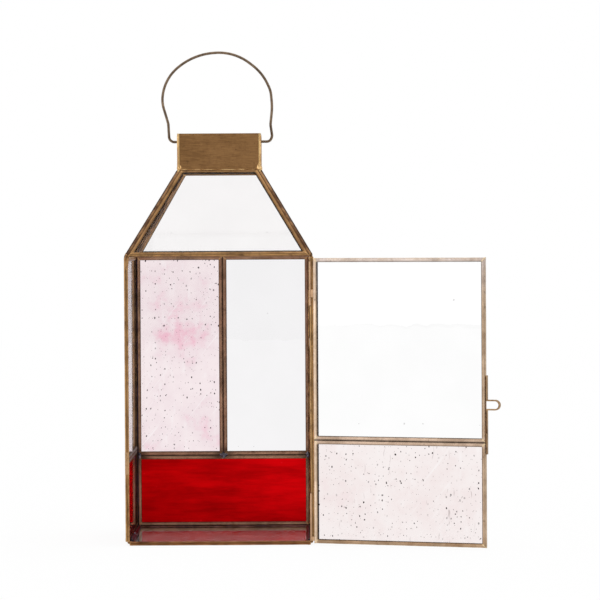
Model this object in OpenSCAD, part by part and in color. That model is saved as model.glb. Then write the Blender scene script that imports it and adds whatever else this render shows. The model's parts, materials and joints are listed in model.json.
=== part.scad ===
// Hand-made candle lantern: glass panes edged in mitred brass channel, soldered corner to corner,
// with a glazed hip roof, a square brass chimney collar, a wire carrying handle
// and a tall side-hung door drawn standing open.
// Origin: centre of the underside. Z is up, the doorway faces -Y.

/* [Body] */
// Width and depth over the outside of the walls
body_w = 120; // [116:1:126]
// Height of the wall tops above the underside
wall_top = 182.6; // [176:0.2:190]
// Height of the joint above the lower pane of the back wall
low_joint_z = 49.8; // [40:0.2:60]
// Height of the joint between the two panes of the left wall
left_joint_z = 53.8; // [50:0.2:56]
// Height of the joint between the two panes of the right wall
right_joint_z = 126; // [110:1:140]
// Outside width of the square brass channel
came = 2.6; // [2.4:0.1:3.0]
// Thickness of the glass sheet
glass_t = 1.8; // [1.4:0.1:1.8]
// Depth of channel metal outside the edge of each glass sheet
web = 0.5; // [0.4:0.1:0.7]
// Hairline left between channel strips at each mitre
mitre_gap = 0.06; // [0.04:0.01:0.1]

/* [Roof] */
// Half width of the opening at the top of the roof
roof_top_half = 25; // [24.6:0.1:25.3]
// Height of the inner top edge of the roof panes
roof_top_z = 237; // [230:0.5:242]
// Radius of the solder run along each hip
hip_bead_r = 1.9; // [1.2:0.1:2.2]
// Radius of the solder run under the eaves
eave_bead_r = 1.9; // [1.4:0.1:2.0]

/* [Collar] */
// Half width of the square collar
collar_half = 26.8; // [26.6:0.1:27.2]
// Height of the collar's open top edge
collar_top_z = 261.7; // [259:0.1:268]
// Thickness of the collar plates
collar_t = 1.4; // [1.2:0.1:1.5]
// Set-back of the front and back plates from the edges of the side plates
collar_step = 0.25; // [0.1:0.05:0.4]

/* [Handle] */
// Radius of the handle wire
wire_r = 0.85; // [0.75:0.05:0.9]
// Height of the handle's pivot line
bail_z = 257; // [255:0.5:258]
// Radius of the pivot holes in the collar
bail_hole_r = 0.93; // [0.92:0.01:0.95]
// Size of the handle's arch, centre to crown
arch_r = 35.5; // [34.5:0.5:36.5]
// Height of the centre of the top arch
arch_z = 279.2; // [278:0.2:282]
// Sideways lean of the arch centre
arch_x = -1.4; // [-1.8:0.1:-1]
// Length of wire inside the collar
bail_inside = 2.6; // [2:0.2:4]

/* [Door] */
// Width of the door
door_w = 113.8; // [113:0.2:115]
// Height of the door's lower edge
door_z0 = 1.2; // [0.8:0.1:1.6]
// Height of the door's upper edge
door_z1 = 181.7; // [180:0.1:181.9]
// Height of the joint between the door's two panes
door_joint_z = 66.6; // [55:0.2:80]
// Angle the door stands open from shut
door_open = 159.5; // [0:0.5:169]
// Distance from the hinge pin to the door's edge
door_offset = 2.1; // [2.1:0.1:2.3]
// Gap between the shut door and the faces it closes against
door_gap = 0.4; // [0.38:0.02:0.5]

/* [Hinges] */
// Sideways position of the hinge pins
hinge_x = 57.7; // [57.7:0.1:58]
// Distance of the hinge pins in front of the wall edge
hinge_out = 0.9; // [0.85:0.05:1.0]
// Outside radius of the hinge tubes
tube_r = 0.7; // [0.65:0.05:0.75]
// Radius of the hinge pins
pin_r = 0.38; // [0.34:0.02:0.4]
// Running clearance between pin and door tube
pin_clear = 0.04; // [0.02:0.01:0.06]

/* [Door pull] */
// Thickness of the pull strip
pull_t = 0.9; // [0.8:0.1:1.0]
// Width of the pull strip
pull_w = 2.4; // [2:0.1:2.6]
// Height of the middle of the pull's bend
pull_z = 90.1; // [80:0.1:100]
// Outside height of the bend
pull_h = 6.6; // [6.4:0.1:8]
// How far the bend stands out from the door edge
pull_out = 9.2; // [7:0.1:11]

/* [Hidden] */
$fn = 96;
pane = body_w - 2 * came;
half = pane / 2;
roof_run = half - roof_top_half;
roof_rise = roof_top_z - wall_top;
roof_len = sqrt(roof_run * roof_run + roof_rise * roof_rise);
slope = atan(roof_rise / roof_run);
hip_len = sqrt(roof_run * roof_run * 2 + roof_rise * roof_rise);
hip_tilt = atan(roof_run * sqrt(2) / roof_rise);
hinge_y = -half - hinge_out;
bore_r = pin_r + pin_clear;
body_bore_r = pin_r + 0.02;
up_knuckle_z = [151.7, 156.7, 161.9, 179.7];
low_knuckle_z = [2.7, 5.5, 32.7];
wire_seam = 0.02;
knuckle_gap = 0.12;
strap_z = [45.2, 59.3];
strap_t = 0.28;
pull_top_z = 108.5;
pull_low_z = 72.5;
pull_end_z = 59.4;
bend_r = pull_h / 2;
brass = [0.55, 0.42, 0.27];
pale_brass = [0.72, 0.62, 0.48];
wire_col = [0.36, 0.31, 0.27];
solder_col = [0.68, 0.52, 0.34];
clear = [0.92, 0.93, 0.93, 0.35];
red = [0.62, 0.01, 0.02, 0.7];
pink = [0.95, 0.86, 0.88, 0.5];

// Corners of a trapezoid with its base on y = 0, every edge moved inwards by k
function trap(wb, wt, h, k) =
  let (s = (wb - wt) / 2 / h, c = sqrt(1 + s * s))
  let (b = wb / 2 - k * s - k * c, t = wb / 2 - (h - k) * s - k * c)
  [[-b, k], [b, k], [t, h - k], [-t, h - k]];

function unit(v) = v / norm(v);

// Glass sheet of one pane, lying flat with its outer side up
module sheet(wb, wt, h) {
  translate([0, 0, (came - glass_t) / 2])
    linear_extrude(glass_t)
      polygon(trap(wb, wt, h, web));
}

// Four mitred channel strips round one pane, grooved for the glass
module channel(wb, wt, h, gap) {
  o = trap(wb, wt, h, 0);
  n = trap(wb, wt, h, came);
  difference() {
    for (i = [0:3]) {
      j = (i + 1) % 4;
      g = unit(o[j] - o[i]) * gap / 2;
      linear_extrude(came)
        polygon([o[i] + g, o[j] - g, n[j] - g, n[i] + g]);
    }
    sheet(wb, wt, h);
  }
}

// Stands a flat pane up on one side of the body: 0 front, 90 right, 180 back, 270 left
module on_side(a, x, z) {
  rotate([0, 0, a])
    translate([x, -half, z])
      rotate([90, 0, 0])
        children();
}

// Leans a flat pane on one side of the roof
module on_roof(a) {
  rotate([0, 0, a])
    translate([0, -half, wall_top])
      rotate([slope, 0, 0])
        children();
}

module roof_sheet() {
  sheet(2 * half, 2 * roof_top_half, roof_len);
}

module roof_channel() {
  channel(2 * half, 2 * roof_top_half, roof_len, mitre_gap);
}

// Solid shape of one roof pane, thickened inwards for cutting solder and plates
module roof_block(a) {
  on_roof(a)
    translate([0, 0, -6])
      linear_extrude(came + 6)
        polygon(trap(2 * half, 2 * roof_top_half, roof_len, 0));
}

module floor_glass() {
  color(clear)
    translate([0, -half, 0])
      sheet(pane, pane, pane);
}

module floor_channel() {
  color(brass)
    translate([0, -half, 0])
      channel(pane, pane, pane, 0);
}

module left_lower_glass() {
  color(red)
    on_side(270, 0, came)
      sheet(pane, pane, left_joint_z - came);
}

module left_lower_channel() {
  color(brass)
    on_side(270, 0, came)
      channel(pane, pane, left_joint_z - came, mitre_gap);
}

module left_upper_glass() {
  color(clear)
    on_side(270, 0, left_joint_z)
      sheet(pane, pane, wall_top - left_joint_z);
}

module left_upper_channel() {
  color(brass)
    on_side(270, 0, left_joint_z)
      channel(pane, pane, wall_top - left_joint_z, mitre_gap);
}

module right_lower_glass() {
  color(clear)
    on_side(90, 0, came)
      sheet(pane, pane, right_joint_z - came);
}

module right_lower_channel() {
  color(brass)
    on_side(90, 0, came)
      channel(pane, pane, right_joint_z - came, mitre_gap);
}

module right_upper_glass() {
  color(pink)
    on_side(90, 0, right_joint_z)
      sheet(pane, pane, wall_top - right_joint_z);
}

module right_upper_channel() {
  color(brass)
    on_side(90, 0, right_joint_z)
      channel(pane, pane, wall_top - right_joint_z, mitre_gap);
}

module back_lower_glass() {
  color(red)
    on_side(180, 0, came)
      sheet(pane, pane, low_joint_z - came);
}

module back_lower_channel() {
  color(brass)
    on_side(180, 0, came)
      channel(pane, pane, low_joint_z - came, mitre_gap);
}

module back_left_glass() {
  color(pink)
    on_side(180, half / 2, low_joint_z)
      sheet(half, half, wall_top - low_joint_z);
}

module back_left_channel() {
  color(brass)
    on_side(180, half / 2, low_joint_z)
      channel(half, half, wall_top - low_joint_z, mitre_gap);
}

module back_right_glass() {
  color(clear)
    on_side(180, -half / 2, low_joint_z)
      sheet(half, half, wall_top - low_joint_z);
}

module back_right_channel() {
  color(brass)
    on_side(180, -half / 2, low_joint_z)
      channel(half, half, wall_top - low_joint_z, mitre_gap);
}

module roof_front_glass() {
  color(clear)
    on_roof(0)
      roof_sheet();
}

module roof_front_channel() {
  color(brass)
    on_roof(0)
      roof_channel();
}

module roof_right_glass() {
  color(clear)
    on_roof(90)
      roof_sheet();
}

module roof_right_channel() {
  color(brass)
    on_roof(90)
      roof_channel();
}

module roof_back_glass() {
  color(clear)
    on_roof(180)
      roof_sheet();
}

module roof_back_channel() {
  color(brass)
    on_roof(180)
      roof_channel();
}

module roof_left_glass() {
  color(clear)
    on_roof(270)
      roof_sheet();
}

module roof_left_channel() {
  color(brass)
    on_roof(270)
      roof_channel();
}

// One collar plate, its foot cut to the slope of the roof panes' top edges
module collar_plate(a, w, set_back) {
  difference() {
    rotate([0, 0, a])
      translate([-w / 2, -collar_half + set_back, roof_top_z - 2])
        cube([w, collar_t, collar_top_z - roof_top_z + 2]);
    for (s = [0, 90, 180, 270])
      roof_block(s);
    if (a % 180 == 90)
      translate([-collar_half - 5, 0, bail_z])
        rotate([0, 90, 0])
          cylinder(h = 2 * collar_half + 10, r = bail_hole_r);
  }
}

module collar_front() {
  color(brass)
    collar_plate(0, 2 * (collar_half - collar_t), collar_step);
}

module collar_back() {
  color(brass)
    collar_plate(180, 2 * (collar_half - collar_t), collar_step);
}

module collar_right() {
  color(brass)
    collar_plate(90, 2 * collar_half, 0);
}

module collar_left() {
  color(brass)
    collar_plate(270, 2 * collar_half, 0);
}

// Round wire through corner points in the XZ plane: straight runs joined by true arcs,
// with a hair-thin swelling where a run meets a bend
module wire(pts, radii) {
  last = len(pts) - 1;
  trim = [for (i = [0:last]) (i == 0 || i == last) ? 0 :
    radii[i] * tan(turn(pts, i) / 2)];
  for (i = [0:last - 1]) {
    d = unit(pts[i + 1] - pts[i]);
    a = pts[i] + d * (trim[i] + (i == 0 ? 0 : wire_seam));
    b = pts[i + 1] - d * (trim[i + 1] + (i == last - 1 ? 0 : wire_seam));
    translate([a[0], 0, a[1]])
      rotate([0, 90 - atan2(d[1], d[0]), 0])
        cylinder(h = norm(b - a), r = wire_r);
  }
  for (i = [1:last - 1]) {
    d = unit(pts[i] - pts[i - 1]);
    e = unit(pts[i + 1] - pts[i]);
    side = sign(d[0] * e[1] - d[1] * e[0]);
    normal = side * [-d[1], d[0]];
    c = pts[i] - d * trim[i] + normal * radii[i];
    start = atan2(-normal[1], -normal[0]);
    first = side > 0 ? start : start - turn(pts, i);
    for (q = [pts[i] - d * trim[i], pts[i] + e * trim[i]])
      translate([q[0], 0, q[1]])
        sphere(r = wire_r + 0.03);
    translate([c[0], 0, c[1]])
      rotate([90, 0, 0])
        rotate([0, 0, first])
          rotate_extrude(angle = turn(pts, i))
            translate([radii[i], 0])
              circle(r = wire_r, $fn = 48);
  }
}

// Angle the wire turns through at point i
function turn(pts, i) =
  let (d = unit(pts[i] - pts[i - 1]), e = unit(pts[i + 1] - pts[i]))
  acos(max(-1, min(1, d * e)));

// Point on the handle's arch, as shares of the arch radius from its centre
function on_arch(a, b) = [arch_x + arch_r * a, arch_z + arch_r * b];

// Wire carrying handle: pivot ends through the collar, sprung legs and a hand-bent arch
module bail() {
  inner = collar_half - collar_t - bail_inside;
  color(wire_col)
    wire(
      [
        [-inner, bail_z],
        [-32.74, bail_z],
        [-33.33, bail_z + 11.9],
        on_arch(-1.018, 0.110),
        on_arch(-0.947, 0.550),
        on_arch(-0.425, 0.971),
        on_arch(0.310, 1.025),
        on_arch(0.821, 0.631),
        on_arch(0.973, 0.306),
        on_arch(1.001, 0.008),
        [32.94, bail_z + 11],
        [33.97, bail_z + 3.6],
        [32.7, bail_z],
        [inner, bail_z]
      ],
      [0, 3.5, 10, 0.58 * arch_r, 0.78 * arch_r, 1.14 * arch_r, 0.92 * arch_r, 0.91 * arch_r,
        0.46 * arch_r, 1.3 * arch_r, 7.6, 3.8, 3.2, 0]
    );
}

// Places door parts drawn shut: x runs back from the pin towards the free edge, y out of the doorway
module on_door() {
  translate([hinge_x, hinge_y, 0])
    rotate([0, 0, door_open])
      translate([-door_offset - door_w, hinge_out - door_gap, 0])
        children();
}

// A door pane frame or sheet between two heights, standing on the door's inner face
module door_pane(z0) {
  translate([door_w / 2, 0, z0])
    rotate([90, 0, 0])
      children();
}

module door_lower_glass() {
  color(pink)
    on_door()
      door_pane(door_z0)
        sheet(door_w, door_w, door_joint_z - door_z0);
}

module door_lower_channel() {
  color(pale_brass)
    on_door()
      door_pane(door_z0)
        channel(door_w, door_w, door_joint_z - door_z0, mitre_gap);
}

module door_upper_glass() {
  color(clear)
    on_door()
      door_pane(door_joint_z)
        sheet(door_w, door_w, door_z1 - door_joint_z);
}

module door_upper_channel() {
  color(pale_brass)
    on_door()
      door_pane(door_joint_z)
        channel(door_w, door_w, door_z1 - door_joint_z, mitre_gap);
}

// Brass strip soldered down the door's free edge, bent out into a rounded finger pull
module door_pull() {
  y0 = -came / 2 - pull_w / 2;
  color(pale_brass)
    on_door() {
      translate([-pull_t, y0, pull_z + bend_r - pull_t])
        cube([pull_t, pull_w, pull_top_z - pull_z - bend_r + pull_t]);
      translate([-pull_t, y0, pull_low_z])
        cube([pull_t, pull_w * 0.75, pull_z - bend_r + pull_t - pull_low_z]);
      translate([-pull_t, y0, pull_end_z])
        cube([pull_t, pull_w, pull_low_z - pull_end_z]);
      for (z = [pull_z + bend_r - pull_t, pull_z - bend_r])
        translate([-pull_out + bend_r, y0, z])
          cube([pull_out - bend_r, pull_w, pull_t]);
      translate([-pull_out + bend_r, y0, pull_z])
        rotate([-90, 0, 0])
          intersection() {
            difference() {
              cylinder(h = pull_w, r = bend_r);
              translate([0, 0, -1])
                cylinder(h = pull_w + 2, r = bend_r - pull_t);
            }
            translate([-bend_r - 1, -bend_r - 1, -1])
              cube([bend_r + 1, 2 * bend_r + 2, pull_w + 2]);
          }
    }
}

// Tube round the pin line with a web of metal to the door edge
module door_knuckle(z0, z1) {
  translate([hinge_x, hinge_y, z0])
    rotate([0, 0, door_open])
      difference() {
        union() {
          cylinder(h = z1 - z0, r = tube_r);
          translate([-door_offset, -0.6, 0])
            cube([door_offset, 0.8, z1 - z0]);
        }
        translate([0, 0, -1])
          cylinder(h = z1 - z0 + 2, r = bore_r);
      }
}

// Tube round the pin line with a web of solder to the corner post
module body_knuckle(z0, z1) {
  difference() {
    union() {
      translate([hinge_x, hinge_y, z0])
        cylinder(h = z1 - z0, r = tube_r);
      translate([hinge_x - 0.15, hinge_y, z0])
        cube([0.75, hinge_out, z1 - z0]);
    }
    translate([hinge_x, hinge_y, z0 - 1])
      cylinder(h = z1 - z0 + 2, r = body_bore_r);
  }
}

module door_knuckle_upper() {
  color(pale_brass)
    door_knuckle(up_knuckle_z[1] + knuckle_gap, up_knuckle_z[2] - knuckle_gap);
}

module door_knuckle_lower() {
  color(pale_brass)
    door_knuckle(low_knuckle_z[0], low_knuckle_z[1] - knuckle_gap);
}

module body_knuckles_upper() {
  color(solder_col) {
    body_knuckle(up_knuckle_z[0], up_knuckle_z[1]);
    body_knuckle(up_knuckle_z[2], up_knuckle_z[3]);
  }
}

module body_knuckle_lower() {
  color(solder_col)
    body_knuckle(low_knuckle_z[1], low_knuckle_z[2]);
}

module hinge_pin_upper() {
  color(wire_col)
    translate([hinge_x, hinge_y, up_knuckle_z[0] - 0.4])
      cylinder(h = up_knuckle_z[3] - up_knuckle_z[0] + 0.8, r = pin_r);
}

module hinge_pin_lower() {
  color(wire_col)
    translate([hinge_x, hinge_y, low_knuckle_z[0] - 0.4])
      cylinder(h = low_knuckle_z[2] - low_knuckle_z[0] + 0.8, r = pin_r);
}

// Thin strip bridging the pane joint on the left wall's front edge
module joint_strap() {
  color(solder_col)
    translate([-half - came, -half - strap_t, strap_z[0]])
      cube([came, strap_t, strap_z[1] - strap_z[0]]);
}

// Solder filling the two back corners
module wall_solder() {
  color(solder_col) {
    for (a = [180, 270])
      rotate([0, 0, a])
        translate([-half, -half, came])
          intersection() {
            cylinder(h = wall_top - came, r = 1.8);
            translate([-5, -5, 0])
              cube([5, 5, wall_top - came]);
          }
  }
}

module floor_solder() {
  color(solder_col)
    for (a = [90, 180, 270])
      rotate([0, 0, a])
        translate([-half, -half, came])
          rotate([0, 90, 0])
            intersection() {
              cylinder(h = pane, r = 1.5);
              translate([0, -5, 0])
                cube([5, 5, pane]);
            }
}

// Rods along the four hips, from which the solder runs are cut
module hip_rods() {
  for (a = [0, 90, 180, 270])
    rotate([0, 0, a])
      translate([-half, -half, wall_top])
        rotate([0, 0, 45])
          rotate([0, hip_tilt, 0])
            cylinder(h = hip_len, r = hip_bead_r);
}

module hip_solder() {
  color(solder_col)
    difference() {
      hip_rods();
      for (a = [0, 90, 180, 270])
        roof_block(a);
      translate([-half - 5, -half - 5, wall_top - 5])
        cube([pane + 10, pane + 10, 5]);
      translate([-collar_half, -collar_half, roof_top_z - 2])
        cube([2 * collar_half, 2 * collar_half, 10]);
    }
}

// Solder in the slot between each wall top and the roof pane above it
module eave_solder() {
  color(solder_col)
    difference() {
      for (a = [90, 180, 270])
        intersection() {
          rotate([0, 0, a])
            translate([-half + 2, -half, wall_top])
              rotate([0, 90, 0])
                cylinder(h = pane - 4, r = eave_bead_r);
          on_roof(a)
            translate([-half, -4, 0])
              cube([pane, 4, came]);
        }
      translate([-half - 5, -half - 5, wall_top - 5])
        cube([pane + 10, pane + 10, 5]);
      hip_rods();
    }
}

// Solder round the foot of the collar
module collar_solder() {
  color(solder_col)
    difference() {
      for (a = [0, 90, 180, 270])
        rotate([0, 0, a])
          translate([-collar_half - 0.5, -collar_half, roof_top_z + 1.2])
            rotate([0, 90, 0])
              cylinder(h = 2 * collar_half + 1, r = 0.9);
      for (a = [0, 90, 180, 270])
        roof_block(a);
      translate([-collar_half, -collar_half, roof_top_z - 4])
        cube([2 * collar_half, 2 * collar_half, 10]);
      hip_rods();
    }
}

floor_glass();
floor_channel();
left_lower_glass();
left_lower_channel();
left_upper_glass();
left_upper_channel();
right_lower_glass();
right_lower_channel();
right_upper_glass();
right_upper_channel();
back_lower_glass();
back_lower_channel();
back_left_glass();
back_left_channel();
back_right_glass();
back_right_channel();
roof_front_glass();
roof_front_channel();
roof_right_glass();
roof_right_channel();
roof_back_glass();
roof_back_channel();
roof_left_glass();
roof_left_channel();
collar_front();
collar_right();
collar_back();
collar_left();
bail();
door_lower_glass();
door_lower_channel();
door_upper_glass();
door_upper_channel();
door_pull();
door_knuckle_upper();
door_knuckle_lower();
body_knuckles_upper();
body_knuckle_lower();
hinge_pin_upper();
hinge_pin_lower();
joint_strap();
wall_solder();
floor_solder();
hip_solder();
eave_solder();
collar_solder();
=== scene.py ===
"""Looks of the candle lantern: soldered brass channel, clear, pink and red glass, wire handle."""
import json
import math
import random

import bpy
import numpy as np
from mathutils import Matrix, Vector, noise


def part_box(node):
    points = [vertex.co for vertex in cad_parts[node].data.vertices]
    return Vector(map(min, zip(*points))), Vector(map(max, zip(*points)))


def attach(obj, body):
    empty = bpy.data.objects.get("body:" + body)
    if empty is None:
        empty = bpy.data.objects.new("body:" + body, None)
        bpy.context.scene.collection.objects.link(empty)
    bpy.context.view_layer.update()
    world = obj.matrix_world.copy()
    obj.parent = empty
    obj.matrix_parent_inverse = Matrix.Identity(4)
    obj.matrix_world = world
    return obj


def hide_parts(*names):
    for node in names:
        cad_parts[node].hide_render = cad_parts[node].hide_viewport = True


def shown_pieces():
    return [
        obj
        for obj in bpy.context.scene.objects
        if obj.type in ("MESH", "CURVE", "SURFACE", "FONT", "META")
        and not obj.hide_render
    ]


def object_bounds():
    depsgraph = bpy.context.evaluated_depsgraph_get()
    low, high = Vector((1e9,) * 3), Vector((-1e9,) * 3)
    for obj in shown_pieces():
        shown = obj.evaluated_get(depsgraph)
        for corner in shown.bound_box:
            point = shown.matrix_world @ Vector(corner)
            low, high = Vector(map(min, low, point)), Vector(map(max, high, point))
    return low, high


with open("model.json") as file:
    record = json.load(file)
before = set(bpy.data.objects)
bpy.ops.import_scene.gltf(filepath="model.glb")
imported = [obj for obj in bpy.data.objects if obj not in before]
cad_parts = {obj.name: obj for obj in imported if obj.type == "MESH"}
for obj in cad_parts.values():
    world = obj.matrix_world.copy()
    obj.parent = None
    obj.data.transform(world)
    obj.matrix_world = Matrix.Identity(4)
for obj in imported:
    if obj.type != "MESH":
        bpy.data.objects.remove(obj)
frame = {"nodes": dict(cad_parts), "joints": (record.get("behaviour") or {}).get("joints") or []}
cad_lo, cad_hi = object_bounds()

MM = 0.001
# a margin for comparing places, and a distance that is far from everything
TINY = 0.05 * MM
FAR = 1.0
UP = Vector((0, 0, 1))
rng = random.Random(7)
scene = bpy.context.scene
NODES = frame["nodes"]


# ---------------------------------------------------------------- measurements from the CAD


def corners(node):
    """Vertices of a CAD node as an array, in metres."""
    return np.array([v.co for v in NODES[node].data.vertices], float).reshape(-1, 3)


def turned_z(degrees, x, y, z=0.0):
    """A vector turned about Z."""
    return Matrix.Rotation(math.radians(degrees), 3, "Z") @ Vector((x, y, z))


HINGE = next(j for j in frame["joints"] if j["name"] == "door_hinge")
DOOR_ANGLE = -HINGE["range_deg"][0]
floor_lo, floor_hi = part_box("floor_channel")
CAME = floor_hi.z - floor_lo.z
HALF = floor_hi.x
WALL_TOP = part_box("left_upper_channel")[1].z
collar_lo, collar_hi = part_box("collar_left")
COLLAR_HALF = -collar_lo.x
COLLAR_TOP = collar_hi.z


def roof_lean():
    """(slope angle, half width and height of the inner top edge) of the roof panes."""
    pts = corners("roof_front_channel")
    low, high = pts[pts[:, 2].argmin()], pts[pts[:, 2].argmax()]
    rise, run = high[2] - low[2], high[1] - low[1]
    length = math.sqrt(rise * rise + run * run - CAME * CAME)
    slope = math.atan2(rise, run) - math.atan2(CAME, length)
    return slope, HALF - length * math.cos(slope), WALL_TOP + length * math.sin(slope)


SLOPE, ROOF_TOP_HALF, ROOF_TOP = roof_lean()


def axes(side, lean):
    """Across, up and outward directions of a pane on one side of the body."""
    u = turned_z(side, 1, 0)
    out = turned_z(side, 0, -1)
    return (u, -out * math.cos(lean) + UP * math.sin(lean), out * math.sin(lean) + UP * math.cos(lean))


UPRIGHT = math.pi / 2
PANE_AXES = {
    "floor": axes(0, 0.0),
    "left_lower": axes(270, UPRIGHT),
    "left_upper": axes(270, UPRIGHT),
    "right_lower": axes(90, UPRIGHT),
    "right_upper": axes(90, UPRIGHT),
    "back_lower": axes(180, UPRIGHT),
    "back_left": axes(180, UPRIGHT),
    "back_right": axes(180, UPRIGHT),
    "roof_front": axes(0, SLOPE),
    "roof_right": axes(90, SLOPE),
    "roof_back": axes(180, SLOPE),
    "roof_left": axes(270, SLOPE),
    "door_lower": axes(DOOR_ANGLE, UPRIGHT),
    "door_upper": axes(DOOR_ANGLE, UPRIGHT),
}


def pane_shape(name):
    """Origin, axes and outline of a pane's channel, measured on its CAD node."""
    u, v, n = PANE_AXES[name]
    pts = corners(name + "_channel")
    along, up, out = (pts @ np.array(a) for a in (u, v, n))
    low, high = up.min(), up.max()
    top = along[up > high - TINY]
    bottom = along[up < low + TINY]
    middle = (bottom.max() + bottom.min()) / 2
    origin = u * middle + v * low + n * out.min()
    return {
        "origin": origin, "u": u, "v": v, "n": n,
        "wide": bottom.max() - bottom.min(), "top": top.max() - top.min(),
        "high": high - low, "thick": out.max() - out.min(),
    }


# ---------------------------------------------------------------- small helpers


def smooth(x, low, high):
    """0 below low, 1 above high, eased between."""
    t = min(1.0, max(0.0, (x - low) / (high - low)))
    return t * t * (3 - 2 * t)


def lumps(p, size, seed):
    """Smooth noise between -1 and 1 with lumps of about that size in metres."""
    return noise.noise(Vector(p) / size + Vector((seed * 7.3, seed * 3.1, seed * 1.7)))


def make_object(name, verts, faces, uvs, fields, sharp=40.0):
    """A mesh object in the shared frame with smooth shading, a UV map unless None and point fields."""
    mesh = bpy.data.meshes.new(name)
    mesh.from_pydata([tuple(v) for v in verts], [], faces)
    mesh.polygons.foreach_set("use_smooth", [True] * len(mesh.polygons))
    mesh.set_sharp_from_angle(angle=math.radians(sharp))
    if uvs is not None:
        layer = mesh.uv_layers.new(name="strip")
        loop_vert = [0] * len(mesh.loops)
        mesh.loops.foreach_get("vertex_index", loop_vert)
        flat = [c for i in loop_vert for c in uvs[i]]
        layer.data.foreach_set("uv", flat)
    for key, values in fields.items():
        mesh.attributes.new(key, "FLOAT", "POINT").data.foreach_set("value", values)
    mesh.validate()
    mesh.update()
    obj = bpy.data.objects.new(name, mesh)
    scene.collection.objects.link(obj)
    return obj


def dress(obj, node, body):
    """Makes a piece stand for a CAD node, riding on the same body, and hides the node."""
    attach(obj, body)
    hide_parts(node)
    return obj


# ---------------------------------------------------------------- channel strips

EDGE_R = 0.34 * MM
STEP = 2.2 * MM
GROOVE = 1.9 * MM
LIP = 0.35 * MM
DOME = 0.24 * MM
SOLDER_START = 0.2 * MM
SOLDER_REACH = 1.0 * MM
SOLDER_LIFT = 0.16 * MM
SOLDER_LUMP = 1.3 * MM
STRIP_WAVE = 0.05 * MM
WAVE_LENGTH = 11 * MM
ROOF_TRIM = 0.8 * MM
# shifts the brushing from one strip to the next
STRIP_SHIFT = 0.37
# extra rings of points near a mitre, and where the even steps begin
MITRE_MARKS = (0.0, 0.25 * MM, 0.7 * MM, 1.2 * MM, 1.9 * MM)
MITRE_REACH = 3 * MM
# sides of each pane (0 bottom, 1 and 3 the ends, 2 top) that lie against another pane's channel
JOINED = {
    "floor": (1, 2, 3), "left_lower": (0, 2, 3), "left_upper": (0, 3), "right_lower": (0, 1, 2),
    "right_upper": (0, 1), "back_lower": (0, 1, 2, 3), "back_left": (0, 1, 3), "back_right": (0, 1, 3),
    "roof_front": (1, 2, 3), "roof_right": (1, 2, 3), "roof_back": (1, 2, 3), "roof_left": (1, 2, 3),
    "door_lower": (2,), "door_upper": (0,),
}
# strips darkened all over with painted shade, grime too on the floor's ends, and how strongly
SHADE_AND_GRIME_STRIPS = {
    ("floor", 1): 0.95, ("floor", 3): 1.0, ("right_lower", 0): 0.9, ("left_lower", 0): 0.95,
    ("left_lower", 2): 0.9, ("left_upper", 0): 0.9, ("back_lower", 3): 0.35, ("back_right", 3): 0.2,
    ("roof_back", 2): 0.4,
}
# strips rubbed bright on the outside of the pane, wear and a painted highlight, and black inside as
# painted shade
HIGHLIT_OUTSIDE_SHADED_INSIDE = {("left_lower", 3), ("left_upper", 3)}
# places on the back wall's rail round which the strips are darkened, how far and how strongly
RAIL_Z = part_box("back_lower_channel")[1].z
RAIL_DARK_SPOTS = [Vector((x, HALF, RAIL_Z)) for x in (-HALF, 0.0, HALF)]
DARK_SPOT_REACH = (3.0 * MM, 9.0 * MM)
DARK_SPOT_DEPTH = 0.75


def channel_profile(width, thick, joined):
    """Closed outline of the channel: (distance in from the outer edge, height, wear and painted
    highlight, grime and painted shade).
    """
    slot_lo, slot_hi = (thick - GROOVE) / 2, (thick + GROOVE) / 2
    r = EDGE_R
    inset = 0.29 * r
    # a side against another channel gets painted shade along its outer edge, a free side a rubbed edge
    # with a painted highlight
    seam = 1.0 if joined else 0.0
    rub_and_light = 1.0 - seam
    half_face = [(width, DOME + 0.1 * MM, 0.0, 1.0), (width - 0.12 * MM, DOME * 0.8, 0.1, 0.85),
                 (width - 0.45 * MM, DOME * 0.42, 0.1, 0.3), (width * 0.68, DOME * 0.1, 0.2, 0.0),
                 (width * 0.45, 0.0, 0.3, 0.0), (width * 0.25, DOME * 0.12, 0.2, 0.2 * seam),
                 (r + 0.2 * MM, DOME * 0.4, 0.3 * rub_and_light, 0.45 * seam),
                 (r, DOME * 0.55, 0.7 * rub_and_light, 0.8 * seam), (inset, DOME * 0.6 + inset, rub_and_light, seam),
                 (0.0, r + DOME * 0.6, 0.8 * rub_and_light, seam), (0.0, thick * 0.36, 0.1, 0.5 * seam)]
    upper = [(t, thick - z, w, g) for t, z, w, g in half_face]
    lower = [(t, z, w, g) for t, z, w, g in reversed(half_face)]
    inside = [(width, slot_lo, 0.0, 1.0), (width - LIP, slot_lo, 0.0, 1.0),
              (width - LIP, slot_hi, 0.0, 1.0), (width, slot_hi, 0.0, 1.0)]
    return upper + lower + inside


def outline(shape, inset):
    """The four corners of a pane's trapezoid with every edge moved inwards."""
    lean = (shape["wide"] - shape["top"]) / 2 / shape["high"]
    stretch = math.sqrt(1 + lean * lean)
    base = shape["wide"] / 2 - inset * lean - inset * stretch
    top = shape["wide"] / 2 - (shape["high"] - inset) * lean - inset * stretch
    return [Vector((-base, inset)), Vector((base, inset)),
            Vector((top, shape["high"] - inset)), Vector((-top, shape["high"] - inset))]


def frame_outlines(name, shape):
    """Outer and inner corners of a pane's strips, the roof's top strips a little narrower."""
    outer, inner = outline(shape, 0.0), outline(shape, CAME)
    if name.startswith("roof"):
        for top, foot in ((2, 1), (3, 0)):
            inner[top] = inner[top] + (inner[top] - inner[foot]).normalized() * ROOF_TRIM
    return outer, inner


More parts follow.
